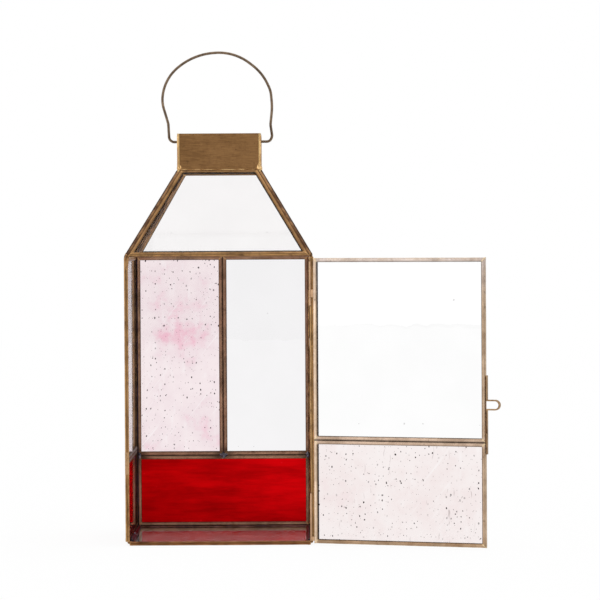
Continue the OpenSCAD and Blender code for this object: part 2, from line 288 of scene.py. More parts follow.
def strip_marks(run):
    """Distances along a strip at which it has a ring of points."""
    even = run - 2 * MITRE_REACH
    steps = max(6, int(even / STEP))
    marks = list(MITRE_MARKS) + [MITRE_REACH + even * k / steps for k in range(steps + 1)]
    return marks + [run - m for m in reversed(MITRE_MARKS)]


def girths(profile):
    """Distance round the profile to each of its points."""
    total = [0.0]
    for (t0, z0, *_), (t1, z1, *_) in zip(profile, profile[1:]):
        total.append(total[-1] + math.hypot(t1 - t0, z1 - z0))
    return total


def tube_faces(start, rings, lap):
    """Faces of a tube made of rings of points, closed at both ends."""
    faces = []
    for row in range(rings - 1):
        a, b = start + row * lap, start + (row + 1) * lap
        for k in range(lap):
            n = (k + 1) % lap
            faces.append((a + k, a + n, b + n, b + k))
    last = start + (rings - 1) * lap
    faces.append(tuple(start + k for k in reversed(range(lap))))
    faces.append(tuple(last + k for k in range(lap)))
    return faces


def strip_point(shape, ends, share, place, held, seed):
    """A point of a strip, pushed out by waves and solder unless held, and its share of solder."""
    a, b = ends
    t, z = place
    flat = a.lerp(b, share)
    p = shape["origin"] + shape["u"] * flat.x + shape["v"] * flat.y + shape["n"] * z
    from_end = min(share, 1 - share) * (b - a).length
    blob = 1 - smooth(from_end, SOLDER_START, SOLDER_REACH * (1 + 0.5 * lumps(p, 2 * MM, seed)))
    if held:
        return p, blob
    lift = STRIP_WAVE * lumps(p, WAVE_LENGTH, seed)
    lift += blob * SOLDER_LIFT * (0.4 + lumps(p, SOLDER_LUMP, seed))
    along = (b - a).normalized()
    push = (Vector(place) - Vector((CAME / 2, shape["thick"] / 2))).normalized() * lift
    inward = Vector((-along.y, along.x)) * push.x
    return p + shape["u"] * inward.x + shape["v"] * inward.y + shape["n"] * push.y, blob


def channel_frame(name, body):
    """Four mitred strips round one pane, waved a little and thickened with solder at the mitres."""
    shape = pane_shape(name)
    outer, inner = frame_outlines(name, shape)
    slot_low = (shape["thick"] - GROOVE) / 2 + TINY
    seed = rng.uniform(0, 50)
    dark_spots = RAIL_DARK_SPOTS if name.startswith("back") else []
    verts, faces, uvs, wear_and_highlight, grime_and_shade, solder = [], [], [], [], [], []
    for i in range(4):
        j = (i + 1) % 4
        profile = channel_profile(CAME, shape["thick"], i in JOINED[name])
        girth = girths(profile)
        run = (outer[j] - outer[i]).length
        marks = strip_marks(run)
        faces += tube_faces(len(verts), len(marks), len(profile))
        for m in marks:
            for k, (t, z, worn_and_lit, dirt_and_shade) in enumerate(profile):
                ends = (outer[i].lerp(inner[i], t / CAME), outer[j].lerp(inner[j], t / CAME))
                held = t >= CAME - 1.1 * LIP and dirt_and_shade
                p, blob = strip_point(shape, ends, m / run, (t, z), held, seed)
                if (name, i) in HIGHLIT_OUTSIDE_SHADED_INSIDE:
                    worn_and_lit, dirt_and_shade = (1.0, 0.0) if z > slot_low else (0.0, 1.0)
                near = min(((p - spot).length for spot in dark_spots), default=FAR)
                darkened = DARK_SPOT_DEPTH * (1 - smooth(near, *DARK_SPOT_REACH))
                verts.append(p)
                uvs.append((m + i * STRIP_SHIFT, girth[k]))
                wear_and_highlight.append(worn_and_lit)
                grime_and_shade.append(max(dirt_and_shade, SHADE_AND_GRIME_STRIPS.get((name, i), 0.0), darkened))
                solder.append(blob)
    fields = {"wear_and_highlight": wear_and_highlight, "grime_and_shade": grime_and_shade, "solder": solder}
    obj = make_object("frame_" + name, verts, faces, uvs, fields)
    return dress(obj, name + "_channel", body)


# ---------------------------------------------------------------- solder runs

ALL_SIDES = (0, 90, 180, 270)
CLOSED_SIDES = (90, 180, 270)
BACK_CORNERS = (180, 270)
BEAD_SIDES = 12
BEAD_STEP = 1.1 * MM
BEAD_ROUGH = 0.16
# radius of each kind of run, then how far it lies from the edge or corner that it follows
HIP_R, HIP_LIFT = 1.55 * MM, 0.55 * MM
EAVE_R, EAVE_OUT, EAVE_UP, EAVE_SHORT = 0.62 * MM, 1.45 * MM, 0.3 * MM, 1.0 * MM
FLOOR_R, FLOOR_IN = 0.95 * MM, 0.5 * MM
CORNER_R, CORNER_OUT = 1.15 * MM, 0.55 * MM
BLOB_R, BLOB_OUT, BLOB_RISE, BLOB_DROP, BLOB_TAPER = 1.9 * MM, 1.0 * MM, 2.4 * MM, 10 * MM, 0.55
FOOT_R, FOOT_LIFT = 0.26 * MM, 1.5 * MM
FILLET_R, FILLET_IN, FILLET_DROP, FILLET_RISE, FILLET_TAPER = 2.2 * MM, 1.3 * MM, 1.0 * MM, 5 * MM, 0.6
COLLAR_EDGE_R, COLLAR_EDGE_IN, COLLAR_EDGE_SHORT = 0.56 * MM, 0.42 * MM, 0.3 * MM
KNOT_R, KNOT_HALF, KNOT_OUT, KNOT_SPREAD = 1.6 * MM, 2.6 * MM, 0.7 * MM, 0.98
CROSS_KNOT_R, CROSS_KNOT_HALF = 1.5 * MM, Vector((3.2 * MM, 0, 0))
BALL_R, BALL_HALF, BALL_LIFT = 1.5 * MM, Vector((0, 3.0 * MM, 0)), 0.9 * MM
BALL_ALONG = -0.25 * HALF
FLOOR_INNER = HALF - 1.0 * MM
FLOOR_SHORT = 2.0 * MM
FLOOR_RUNS = ((-FLOOR_INNER, 1.5 * MM), (FLOOR_INNER, 1.0 * MM))
BACK_SEAM = HALF - 0.25 * MM
BACK_FOOT_R, BACK_SEAM_R = 0.4 * MM, 0.42 * MM
PULL_SEAM_R = 0.27 * MM


def straight(a, b, radius, taper=0.0):
    """A straight run of solder, thinner towards its end by the taper."""
    return a, b, radius, taper


def vertical(at, low, high, radius, taper=0.0):
    """A vertical run over one spot, from one height to another."""
    return straight(Vector((at.x, at.y, low)), Vector((at.x, at.y, high)), radius, taper)


def centred(middle, half, radius):
    """A run that reaches equally far to both sides of its middle."""
    return straight(middle - half, middle + half, radius)


def bead(line, verts, faces, fields, seed):
    """Adds one lumpy run of solder, closed at both ends."""
    a, b, radius, taper = line
    length = (b - a).length
    along = (b - a).normalized()
    side = along.orthogonal().normalized()
    other = along.cross(side)
    steps = max(6, int(length / BEAD_STEP))
    faces += tube_faces(len(verts), steps + 1, BEAD_SIDES)
    for k in range(steps + 1):
        s = k / steps
        centre = a.lerp(b, s)
        end = min(1.0, math.sqrt(max(0.02, min(s, 1 - s) * length / radius)))
        for q in range(BEAD_SIDES):
            angle = math.tau * q / BEAD_SIDES
            away = side * math.cos(angle) + other * math.sin(angle)
            lump = lumps(centre + away * radius, 5 * MM, seed) + 0.6 * lumps(centre, 12 * MM, seed + 3)
            verts.append(centre + away * radius * end * (1 + BEAD_ROUGH * lump - taper * s))
            fields.append(0.5 + 0.5 * lump)


def beads(name, node, runs, body="lantern"):
    """One object holding several solder runs; without a CAD node it is in the looks only."""
    verts, faces, fields = [], [], []
    for k, line in enumerate(runs):
        bead(line, verts, faces, fields, k + len(name))
    obj = make_object(name, verts, faces, None, {"lump": fields}, sharp=80)
    if node:
        return dress(obj, node, body)
    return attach(obj, body)


def side_run(side, half, out, z, radius):
    """A level run along one side of the body, centred on it."""
    return straight(turned_z(side, -half, -HALF - out, z), turned_z(side, half, -HALF - out, z), radius)


def hip_runs():
    """Up the roof's four hips."""
    runs = []
    for side in ALL_SIDES:
        low = turned_z(side, -HALF, -HALF, WALL_TOP)
        high = turned_z(side, -ROOF_TOP_HALF, -ROOF_TOP_HALF, ROOF_TOP)
        out = turned_z(side, -1, -1) * math.sin(SLOPE) / math.sqrt(2) + UP * math.cos(SLOPE)
        out.normalize()
        runs.append(straight(low + out * HIP_LIFT, high + out * HIP_LIFT, HIP_R))
    return runs


def corner_runs():
    """Up the two back corners, and a blob at the top of the left front post."""
    runs = []
    for side in BACK_CORNERS:
        at = turned_z(side, -HALF - CORNER_OUT, -HALF - CORNER_OUT)
        runs.append(vertical(at, CAME, WALL_TOP, CORNER_R))
    post = Vector((-HALF - BLOB_OUT, -HALF + BLOB_OUT))
    runs.append(vertical(post, WALL_TOP + BLOB_RISE, WALL_TOP - BLOB_DROP, BLOB_R, BLOB_TAPER))
    return runs


def collar_runs():
    """Round the collar's foot, with a fillet below each corner and a run up it; their bright solder also
    paints the highlight on the collar's corners.
    """
    foot = ROOF_TOP + FOOT_LIFT
    runs = []
    for side in ALL_SIDES:
        fillet = turned_z(side, FILLET_IN - COLLAR_HALF, FILLET_IN - COLLAR_HALF)
        edge = turned_z(side, COLLAR_EDGE_IN - COLLAR_HALF, COLLAR_EDGE_IN - COLLAR_HALF)
        runs.append(straight(turned_z(side, -COLLAR_HALF, -COLLAR_HALF, foot),
                             turned_z(side, COLLAR_HALF, -COLLAR_HALF, foot), FOOT_R))
        runs.append(vertical(fillet, foot - FILLET_DROP, foot + FILLET_RISE, FILLET_R, FILLET_TAPER))
        runs.append(vertical(edge, foot, COLLAR_TOP - COLLAR_EDGE_SHORT, COLLAR_EDGE_R))
    return runs


def knot_runs():
    """Dark knots on the back rail, and one on the floor's left edge."""
    runs = []
    for spot in RAIL_DARK_SPOTS:
        middle = Vector((spot.x * KNOT_SPREAD, HALF + KNOT_OUT, RAIL_Z))
        runs.append(vertical(middle, RAIL_Z - KNOT_HALF, RAIL_Z + KNOT_HALF, KNOT_R))
        if not spot.x:
            runs.append(centred(middle, CROSS_KNOT_HALF, CROSS_KNOT_R))
    ball = Vector((-FLOOR_INNER, BALL_ALONG, CAME + BALL_LIFT))
    return runs + [centred(ball, BALL_HALF, BALL_R)]


def shaded_corner_runs():
    """Solder runs in the inner corners, near black as painted shade and grime: the floor's ends and back,
    and the back left corner.
    """
    reach = Vector((0, HALF - FLOOR_SHORT, 0))
    runs = [centred(Vector((x, 0, CAME)), reach, radius) for x, radius in FLOOR_RUNS]
    runs.append(centred(Vector((0, BACK_SEAM, CAME)), Vector((FLOOR_INNER, 0, 0)), BACK_FOOT_R))
    runs.append(vertical(Vector((-BACK_SEAM, BACK_SEAM)), CAME, WALL_TOP, BACK_SEAM_R))
    return runs


def pull_seam():
    """The dark seam between the pull and the door's free stile, on the inner face of the door."""
    u, _, n = PANE_AXES["door_upper"]
    pull, leaf = corners("door_pull"), corners("door_upper_channel")
    faces = leaf @ np.array(n)
    foot = u * (pull @ np.array(u)).max() + n * (faces.max() if n.y < 0 else faces.min())
    low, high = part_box("door_pull")
    return vertical(foot, low.z, high.z, PULL_SEAM_R)


def solder_runs():
    """Every run of solder, each object with its CAD node where it has one."""
    eave_z, floor_z = WALL_TOP + EAVE_UP, CAME - FLOOR_IN
    eaves = [side_run(side, HALF - EAVE_SHORT, EAVE_OUT, eave_z, EAVE_R) for side in CLOSED_SIDES]
    floor_edge = [side_run(side, HALF, FLOOR_IN, floor_z, FLOOR_R) for side in CLOSED_SIDES]
    beads("solder_hips", "hip_solder", hip_runs())
    beads("solder_eaves", "eave_solder", eaves)
    beads("solder_corners", "wall_solder", corner_runs())
    beads("solder_floor", "floor_solder", floor_edge)
    beads("solder_collar", "collar_solder", collar_runs())
    beads("solder_knots", None, knot_runs())
    beads("solder_burnt", None, shaded_corner_runs())
    beads("solder_pull_seam", None, [pull_seam()], "door")


# ---------------------------------------------------------------- shader helpers


class Graph:
    """A short way to write a shader node tree."""

    def __init__(self, tree):
        self.tree = tree
        tree.nodes.clear()

    def node(self, kind, props=None, **inputs):
        n = self.tree.nodes.new("ShaderNode" + kind)
        for key, value in (props or {}).items():
            setattr(n, key, value)
        for key, value in inputs.items():
            numbered = key[0] == "i" and key[1:].isdigit()
            self.plug(n.inputs[int(key[1:]) if numbered else key.replace("_", " ")], value)
        return n

    def plug(self, socket, value):
        if isinstance(value, bpy.types.NodeSocket):
            self.tree.links.new(value, socket)
        else:
            socket.default_value = value

    def math(self, op, a, b=0.0, c=0.0, clamp=False):
        return self.node("Math", {"operation": op, "use_clamp": clamp}, i0=a, i1=b, i2=c).outputs[0]

    def vector(self, op, a, b):
        return self.node("VectorMath", {"operation": op}, i0=a, i1=b).outputs["Vector"]

    def measure(self, op, a, b):
        return self.node("VectorMath", {"operation": op}, i0=a, i1=tuple(b)).outputs["Value"]

    def scaled(self, a, by):
        return self.vector("MULTIPLY", a, by)

    def ease(self, x, low, high, to_low=0.0, to_high=1.0):
        n = self.node("MapRange", {"interpolation_type": "SMOOTHSTEP"},
                      i0=x, i1=low, i2=high, i3=to_low, i4=to_high)
        return n.outputs[0]

    def mix(self, fac, a, b, blend="MIX"):
        n = self.node("Mix", {"data_type": "RGBA", "blend_type": blend})
        self.plug(n.inputs[0], fac)
        self.plug(n.inputs[6], a)
        self.plug(n.inputs[7], b)
        return n.outputs[2]

    def shaded(self, col, by):
        grey = self.node("CombineColor", None, i0=by, i1=by, i2=by).outputs[0]
        return self.mix(1.0, col, grey, "MULTIPLY")

    def blend(self, a, share_a, b, share_b):
        return self.math("ADD", self.math("MULTIPLY", a, share_a), self.math("MULTIPLY", b, share_b))

    def noise(self, vector, scale, detail=3.0, roughness=0.55):
        n = self.node("TexNoise", None, Vector=vector, Scale=scale, Detail=detail, Roughness=roughness)
        return n.outputs[0]

    def shake(self, vector, scale):
        return self.node("TexNoise", None, Vector=vector, Scale=scale, Detail=1.0).outputs["Color"]

    def cells(self, vector, scale):
        n = self.node("TexVoronoi", {"voronoi_dimensions": "2D"},
                      Vector=vector, Scale=scale, Randomness=1.0)
        return n.outputs["Distance"], n.outputs["Color"]

    def field(self, name):
        return self.node("Attribute", {"attribute_name": name}).outputs["Fac"]

    def bump(self, height, strength, distance):
        return self.node("Bump", None, Height=height, Strength=strength, Distance=distance).outputs[0]


def colour(r, g, b):
    """Linear colour of an sRGB colour given in 8-bit steps."""
    def lin(c):
        c /= 255
        return c / 12.92 if c <= 0.04045 else ((c + 0.055) / 1.055) ** 2.4
    return (lin(r), lin(g), lin(b), 1.0)


def shades(*tones):
    """Linear colours of several sRGB ones."""
    return [colour(*tone) for tone in tones]


def new_material(name):
    mat = bpy.data.materials.new(name)
    mat.use_nodes = True
    return mat, Graph(mat.node_tree)


# near-black tone of grime and painted shade in the strips' seams, grooves and shaded strips
GRIME_AND_SHADE = (0.012, 0.006, 0.004, 1.0)
GRIME_AND_SHADE_SHARE = 0.9
# scale of the brushing along and across a strip
BRUSH = (40, 1600, 1)


def strip_wear_and_painted_light(g, col, bright, edge, solder):
    """Rubs the channel's edges bright with wear and a painted highlight, colours the solder at its mitres
    and darkens its corners and seams with grime and painted shade.
    """
    obj = g.node("TexCoord").outputs["Object"]
    rubbed_and_lit = g.math("MULTIPLY", g.field("wear_and_highlight"), g.ease(g.noise(obj, 160.0, 4.0), 0.3, 0.62))
    col = g.mix(g.math("MULTIPLY", rubbed_and_lit, edge), col, bright)
    col = g.mix(g.ease(g.field("solder"), 0.3, 0.8, 0.0, 0.6), col, solder)
    dirt_and_shade = g.math("MULTIPLY", g.field("grime_and_shade"), g.ease(g.noise(obj, 260.0, 3.0), 0.2, 0.6, 0.7, 1.0))
    return g.mix(g.math("MULTIPLY", dirt_and_shade, GRIME_AND_SHADE_SHARE), col, GRIME_AND_SHADE)


def wear_material(name, base, dark, bright, solder=None, rough=(0.34, 0.55), stretch=None,
                  patina=0.5, edge=0.6, grain=0.25, bands=()):
    """Old brass: brushed, mottled and darkened, brighter where it is rubbed or soldered; on a channel
    strip the rubbed edges carry a painted highlight and the seams painted shade.

    A channel strip is brushed along its map and has solder; a CAD node is brushed by a stretch.
    """
    base, dark, bright = shades(base, dark, bright)
    mat, g = new_material(name)
    obj = g.node("TexCoord").outputs["Object"]
    if stretch:
        brushed = g.scaled(obj, stretch)
    else:
        brushed = g.scaled(g.node("UVMap", {"uv_map": "strip"}).outputs[0], BRUSH)
    brushing = g.noise(brushed, 1.0, 4.0, 0.6)
    blotches = g.noise(obj, 55.0, 5.0, 0.62)
    fine = g.noise(obj, 420.0, 3.0, 0.6)
    tarnish = g.ease(g.blend(blotches, 0.75, fine, 0.3), 0.42, 0.66)
    ground, place = base, g.node("SeparateXYZ", None, Vector=obj)
    for axis, tone, low, high in bands:
        ground = g.mix(g.ease(place.outputs[axis], low, high), ground, colour(*tone))
    col = g.mix(g.math("MULTIPLY", tarnish, patina), ground, dark)
    col = g.mix(g.math("MULTIPLY", g.ease(brushing, 0.35, 0.7), grain), col, bright)
    if solder:
        col = strip_wear_and_painted_light(g, col, bright, edge, colour(*solder))
    col = g.shaded(col, g.ease(fine, 0.25, 0.4, 0.55, 1.0))
    roughness = g.ease(g.blend(blotches, 0.7, brushing, 0.3), 0.3, 0.7, *rough)
    height = g.math("ADD", g.math("MULTIPLY", brushing, 0.5), fine)
    shader = g.node("BsdfPrincipled", None, Base_Color=col, Metallic=1.0, Roughness=roughness,
                    Normal=g.bump(height, 0.35, 0.12 * MM))
    g.node("OutputMaterial", None, Surface=shader.outputs[0])
    return mat


def solder_material(name, light, shade, rough):
    """Runny solder, brighter on its lumps."""
    light, shade = shades(light, shade)
    mat, g = new_material(name)
    obj = g.node("TexCoord").outputs["Object"]
    cloud = g.noise(obj, 240.0, 5.0, 0.6)
    fine = g.noise(obj, 900.0, 3.0, 0.6)
    col = g.mix(g.ease(g.blend(g.field("lump"), 0.5, cloud, 0.6), 0.4, 0.72), shade, light)
    roughness = g.ease(cloud, 0.3, 0.7, *rough)
    height = g.math("ADD", cloud, g.math("MULTIPLY", fine, 0.35))
    shader = g.node("BsdfPrincipled", None, Base_Color=col, Metallic=1.0, Roughness=roughness,
                    Normal=g.bump(height, 0.4, 0.25 * MM))
    g.node("OutputMaterial", None, Surface=shader.outputs[0])
    return mat


WHITE = (1.0, 1.0, 1.0, 1.0)
# the greatest mirror share of a pane
GRAZING_SHARE = 0.93
HEART_SQUASH = (0.8, 1.5, 0.0)
HEART_DEPTH = 0.13
SCRATCH_LEAN = 0.9
SPECK_RAGGED = 0.7 * MM
# seeds in a speckled pane: cells per metre, greatest radius, share of the cells that hold one
SEED_LAYERS = ((330.0, 0.54 * MM, 0.9), (230.0, 0.46 * MM, 0.7), (120.0, 0.7 * MM, 0.4))


def glass_material(name, pane, paint, mirror, seed, steep, wave, full):
    """Thin sheet glass: tinted see-through with a mirror share that grows towards grazing angles."""
    mat, g = new_material(name)
    u, v, n = PANE_AXES[pane]
    shape = pane_shape(pane)
    middle = shape["origin"].dot(n) + shape["thick"] / 2
    obj = g.node("TexCoord").outputs["Object"]
    across, up = g.measure("DOT_PRODUCT", obj, u), g.measure("DOT_PRODUCT", obj, v)
    flat = g.node("CombineXYZ", None, X=across, Y=up, Z=seed).outputs[0]
    outer = g.math("GREATER_THAN", g.measure("DOT_PRODUCT", obj, n), middle)
    face_tint = g.node("Gamma", None, Color=paint(g, flat, outer), Gamma=0.5).outputs[0]
    ripple = g.bump(g.noise(g.scaled(flat, (1.0, 0.6, 1.0)), 45.0, 2.0), wave, 0.3 * MM)
    facing = g.node("LayerWeight", None, Blend=0.5).outputs["Facing"]
    grazing = g.math("POWER", g.math("DIVIDE", facing, full, clamp=True), steep)
    share = g.math("MULTIPLY_ADD", grazing, GRAZING_SHARE - mirror, mirror)
    clear = g.node("BsdfTransparent", None, Color=face_tint)
    shine = g.node("BsdfGlossy", None, Color=WHITE, Roughness=0.0, Normal=ripple)
    both = g.node("MixShader", None, i0=share, i1=clear.outputs[0], i2=shine.outputs[0])
    g.node("OutputMaterial", None, Surface=both.outputs[0])
    return mat


def specks(g, flat, outer, scale, size, amount):
    """1 where a small seed of ragged outline lies just under the outer face, of many sizes."""
    shake = g.vector("SUBTRACT", g.shake(flat, 900.0), (0.5, 0.5, 0.5))
    at = g.vector("ADD", flat, g.scaled(shake, (SPECK_RAGGED, SPECK_RAGGED, 0.0)))
    distance, random_colour = g.cells(at, scale)
    pick = g.node("SeparateColor", None, i0=random_colour)
    growth = g.math("MULTIPLY_ADD", g.math("POWER", pick.outputs[0], 3.0), 0.65, 0.35)
    inside = g.math("SUBTRACT", g.math("MULTIPLY", growth, size * scale), distance)
    there = g.math("MULTIPLY", g.math("GREATER_THAN", pick.outputs[1], 1 - amount), outer)
    return g.math("MULTIPLY", g.ease(inside, 0.0, 0.12 * size * scale), there)


def clear_paint(level, dust=0.15):
    """Almost colourless glass with a trace of dust and a few seeds."""
    level = colour(*level)
    low = tuple(c * 0.985 for c in level[:3]) + (1.0,)

    def paint(g, flat, outer):
        haze = g.noise(flat, 30.0, 4.0)
        col = g.mix(g.ease(haze, 0.35, 0.65), level, low)
        seeds = specks(g, flat, outer, 90.0, MM, dust)
        return g.mix(g.math("MULTIPLY", seeds, 0.6), col, colour(110, 100, 98))
    return paint


def heart(g, flat, patch):
    """1 at the middle of a squashed round patch, 0 from its rim outwards."""
    x, y, reach = patch
    spot = (x * HEART_SQUASH[0], y * HEART_SQUASH[1], 0.0)
    return g.ease(g.measure("DISTANCE", g.scaled(flat, HEART_SQUASH), spot), reach, 0.0)


def scratched(g, flat, col, depth):
    """Fine pale scratches that all lean the same way."""
    lean = g.node("VectorRotate", {"rotation_type": "Z_AXIS"}, Vector=flat, Angle=SCRATCH_LEAN).outputs[0]
    lines = g.noise(g.scaled(lean, (20.0, 950.0, 1.0)), 1.0, 2.0)
    return g.mix(g.ease(lines, 0.64, 0.72, 0.0, depth), col, WHITE)


def haired(g, flat, outer, col, depth):
    """Short dark hairs just under the outer face."""
    bent = g.vector("ADD", flat, g.scaled(g.shake(flat, 70.0), (6 * MM, 6 * MM, 0.0)))
    lines = g.noise(g.scaled(bent, (900.0, 70.0, 1.0)), 1.0, 1.0)
    marks = g.math("MULTIPLY", g.ease(lines, 0.73, 0.78, 0.0, depth), outer)
    return g.mix(marks, col, colour(70, 30, 24))


def seeded_paint(base, blotch, deep, speck, scratch, speck_amount=0.7, patch=None, hair=0.0):
    """Pale pink glass with cloudy colour, dark seeds and fine scratches."""
    base, blotch, deep, speck = shades(base, blotch, deep, speck)

    def paint(g, flat, outer):
        cloud = g.blend(g.noise(flat, 22.0, 3.0, 0.5), 0.62, g.noise(flat, 110.0, 4.0, 0.6), 0.38)
        if patch:
            cloud = g.math("MULTIPLY_ADD", heart(g, flat, patch), HEART_DEPTH, cloud)
        col = g.mix(g.ease(cloud, 0.42, 0.62), base, blotch)
        col = g.mix(g.ease(cloud, 0.56, 0.76, 0.0, 0.75), col, deep)
        streak = g.noise(g.scaled(flat, (260.0, 60.0, 1.0)), 1.0, 3.0)
        col = g.mix(g.ease(streak, 0.55, 0.75, 0.0, 0.25), col, WHITE)
        col = scratched(g, flat, col, scratch)
        if hair:
            col = haired(g, flat, outer, col, hair)
        crowd = g.ease(g.noise(flat, 60.0, 2.0), 0.36, 0.56)
        dots, at = 0.0, g.scaled(flat, (1.0, 0.7, 1.0))
        for scale, size, amount in SEED_LAYERS:
            dots = g.math("MAXIMUM", dots, specks(g, at, outer, scale, size, speck_amount * amount))
            at = flat
        return g.mix(g.math("MULTIPLY", dots, g.math("MULTIPLY_ADD", crowd, 0.6, 0.4)), col, speck)
    return paint


def red_paint(low_end, high_end):
    """Deep red glass, streaked lengthwise, with another depth at each end and darker below."""
    def paint(g, flat, outer):
        across, up = g.node("SeparateXYZ", None, Vector=flat).outputs[:2]
        col = g.mix(g.ease(across, -HALF, HALF), low_end, high_end)
        streak = g.noise(g.scaled(flat, (28.0, 190.0, 1.0)), 1.0, 5.0, 0.65)
        cloud = g.noise(g.scaled(flat, (26.0, 60.0, 1.0)), 1.0, 4.0)
        shade = g.ease(g.blend(streak, 0.55, cloud, 0.45), 0.32, 0.68, 0.66, 1.26)
        drop = g.ease(up, CAME, CAME + 0.6 * RAIL_Z, 0.8, 1.1)
        col = g.shaded(col, g.math("MULTIPLY", shade, drop))
        sparks = specks(g, flat, outer, 130.0, 0.5 * MM, 0.3)
        return g.mix(g.math("MULTIPLY", sparks, 0.45), col, (0.85, 0.06, 0.06, 1.0))
    return paint


# ---------------------------------------------------------------- building the pieces

BODY_OF = {name: ("door" if name.startswith("door") else "lantern") for name in PANE_AXES}
frames = {name: channel_frame(name, BODY_OF[name]) for name in PANE_AXES}
solder_runs()

# plain, tarnished and rubbed tone of each group of channel strips, the rubbed tone also the painted
# highlight on their edges
CHANNEL_TONES = {
    "roof": ((130, 97, 70), (50, 33, 24), (220, 170, 108)),
    "back": ((152, 109, 88), (54, 35, 28), (210, 172, 140)),
    "left": ((134, 97, 62), (56, 36, 23), (214, 168, 112)),
    "right": ((148, 110, 70), (62, 40, 26), (230, 186, 126)),
    "floor": ((114, 70, 40), (36, 20, 12), (180, 130, 86)),
}
# tones along an axis (0 X, 1 Y, 2 Z): axis, tone, where it starts, where it is full
REAR_FLOOR = (1, (206, 158, 146), HALF - 4.5 * MM, HALF - 3.5 * MM)
DOOR_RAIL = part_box("door_lower_channel")[1].z
# on the door: its foot, its middle rail, the strips above that, its top and its hinge stile
DOOR_BANDS = (
    (2, (182, 154, 128), 4 * MM, 12 * MM),
    (2, (206, 178, 158), DOOR_RAIL - 4 * MM, DOOR_RAIL - 3 * MM),
    (2, (182, 154, 128), DOOR_RAIL + 3 * MM, DOOR_RAIL + 4 * MM),
    (2, (212, 198, 192), 150 * MM, 180 * MM),
    (0, (250, 222, 196), HALF + 4.6 * MM, HALF + 3 * MM),
)
for group, tones in CHANNEL_TONES.items():
    brass = wear_material("brass_" + group, *tones, solder=(206, 162, 108), patina=0.74, edge=0.8,
                          grain=0.38, bands=(REAR_FLOOR,) if group == "floor" else ())
    for name, obj in frames.items():
        if name.startswith(group):
            obj.data.materials.append(brass)
DOOR_BRASS = wear_material("brass_door", (152, 118, 88), (112, 86, 62), (232, 208, 178),
                           solder=(238, 214, 168), patina=0.45, bands=DOOR_BANDS)
for name in ("door_lower", "door_upper"):
    frames[name].data.materials.append(DOOR_BRASS)

# material, light and shaded tone, least and greatest roughness, and the runs made of it
SOLDERS = (
    ("solder_brass", (208, 164, 112), (128, 92, 60), (0.22, 0.42), ("solder_corners",)),
    # bright gold solder, partly a painted highlight on the collar's corners
    ("solder_collar", (246, 206, 146), (184, 136, 86), (0.2, 0.36), ("solder_collar",)),
    ("solder_knot", (112, 108, 118), (30, 24, 30), (0.16, 0.34), ("solder_knots",)),
    # near-black runs: solder in painted shade and grime in the inner corners
    ("solder_burnt", (56, 42, 60), (8, 5, 9), (0.3, 0.55), ("solder_burnt",)),
    ("solder_seam", (128, 84, 46), (52, 28, 12), (0.3, 0.55), ("solder_pull_seam",)),
    ("solder_hip", (150, 112, 76), (84, 56, 38), (0.3, 0.5),
     ("solder_hips", "solder_eaves", "solder_floor")),
)
for name, light, shade, rough, runs in SOLDERS:
    material = solder_material(name, light, shade, rough)
    for piece in runs:
        bpy.data.objects[piece].data.materials.append(material)


def finish_node(node, material, edge=0.0):
    """Gives a CAD node its finish and, where wanted, softened edges."""
    obj = NODES[node]
    obj.data.materials.clear()
    obj.data.materials.append(material)
    if edge:
        mod = obj.modifiers.new("edge", "BEVEL")
        mod.width = edge
        mod.segments = 2
        mod.limit_method = "ANGLE"
        mod.angle_limit = math.radians(40)
        mod.harden_normals = False
    return obj


COLLAR_BRASS = wear_material("brass_collar", (152, 112, 72), (108, 76, 46), (190, 146, 94),
                             stretch=(160, 160, 2600), patina=0.65, grain=0.4, rough=(0.36, 0.58))
# bright tone for the end faces of the side plates: a painted highlight on the collar's corners
COLLAR_EDGE_HIGHLIGHT = wear_material("brass_collar_edge_highlight", (252, 208, 140), (190, 140, 84), (255, 238, 190),
                            stretch=(300, 300, 120), rough=(0.28, 0.45))
HINGE_BRASS = wear_material("brass_hinge", (206, 168, 132), (150, 112, 80), (244, 214, 176),
                            stretch=(600, 600, 90))
STRAP_BRASS = wear_material("brass_strap", (188, 148, 108), (120, 86, 58), (240, 206, 160),
                            stretch=(600, 600, 90))
PULL_BRASS = wear_material("brass_pull", (160, 128, 94), (84, 62, 42), (232, 198, 150),
                           stretch=(500, 500, 120), patina=0.75)
WIRE_STEEL = wear_material("wire_handle", (118, 100, 84), (66, 55, 46), (198, 170, 138),
                           stretch=(260, 260, 260), patina=0.7, grain=0.3, rough=(0.3, 0.5))
for node in ("collar_front", "collar_back", "collar_left", "collar_right"):
    finish_node(node, COLLAR_BRASS, 0.22 * MM)
# the side plates' end faces take the painted highlight
for node in ("collar_left", "collar_right"):
    obj = NODES[node]
    obj.data.materials.append(COLLAR_EDGE_HIGHLIGHT)
    for face in obj.data.polygons:
        face.material_index = int(abs(face.normal.y) > 0.9)
for node in ("door_knuckle_upper", "door_knuckle_lower", "body_knuckles_upper", "body_knuckle_lower"):
    finish_node(node, HINGE_BRASS, 0.08 * MM)
for node in ("hinge_pin_upper", "hinge_pin_lower"):
    finish_node(node, WIRE_STEEL, 0.08 * MM)
finish_node("door_pull", PULL_BRASS, 0.18 * MM)
finish_node("joint_strap", STRAP_BRASS, 0.1 * MM)
finish_node("bail", WIRE_STEEL)

# how far along and up the back left pane its pink patch lies, and its radius
HEART_ALONG, HEART_UP, HEART_REACH = -0.033, 0.562, 34 * MM


def heart_patch():
    """Place of the pink patch in the pane's own directions, and its radius."""
    pane = pane_shape("back_left")
    along = pane["origin"].dot(pane["u"]) + HEART_ALONG * pane["wide"]
    return along, pane["origin"].z + HEART_UP * pane["high"], HEART_REACH


